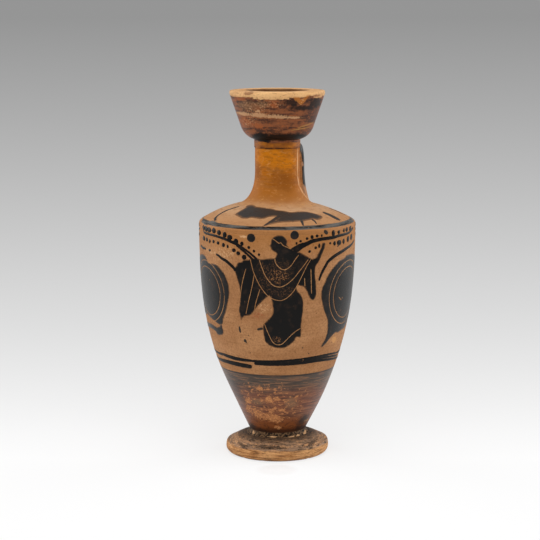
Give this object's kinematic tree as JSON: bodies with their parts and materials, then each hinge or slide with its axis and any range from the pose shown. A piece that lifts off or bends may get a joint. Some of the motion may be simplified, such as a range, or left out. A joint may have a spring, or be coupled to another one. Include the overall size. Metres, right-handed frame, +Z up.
{
  "type": "lekythos",
  "caption": "Small one-handled oil flask of fired clay: pear-shaped body on a disc foot, sloping shoulder, narrow neck, deep cup mouth and a strap handle.",
  "frame": {"origin": "on the wheel's axis, at the plane the foot stands on", "axes": "+Z up along the wheel's axis, +Y from the axis towards the handle"},
  "size_m": [0.0694, 0.0694, 0.1602],
  "materials": {
    "clay": "matt fired clay",
    "brown_slip": "satin, worn",
    "black_slip": "satin"
  },
  "bodies": {
    "root": {"foot": "clay", "foot_luting_fillet": "clay", "body": "clay", "shoulder": "clay", "neck": "clay", "mouth": "brown_slip", "handle": "black_slip"}
  },
  "joints": []
}
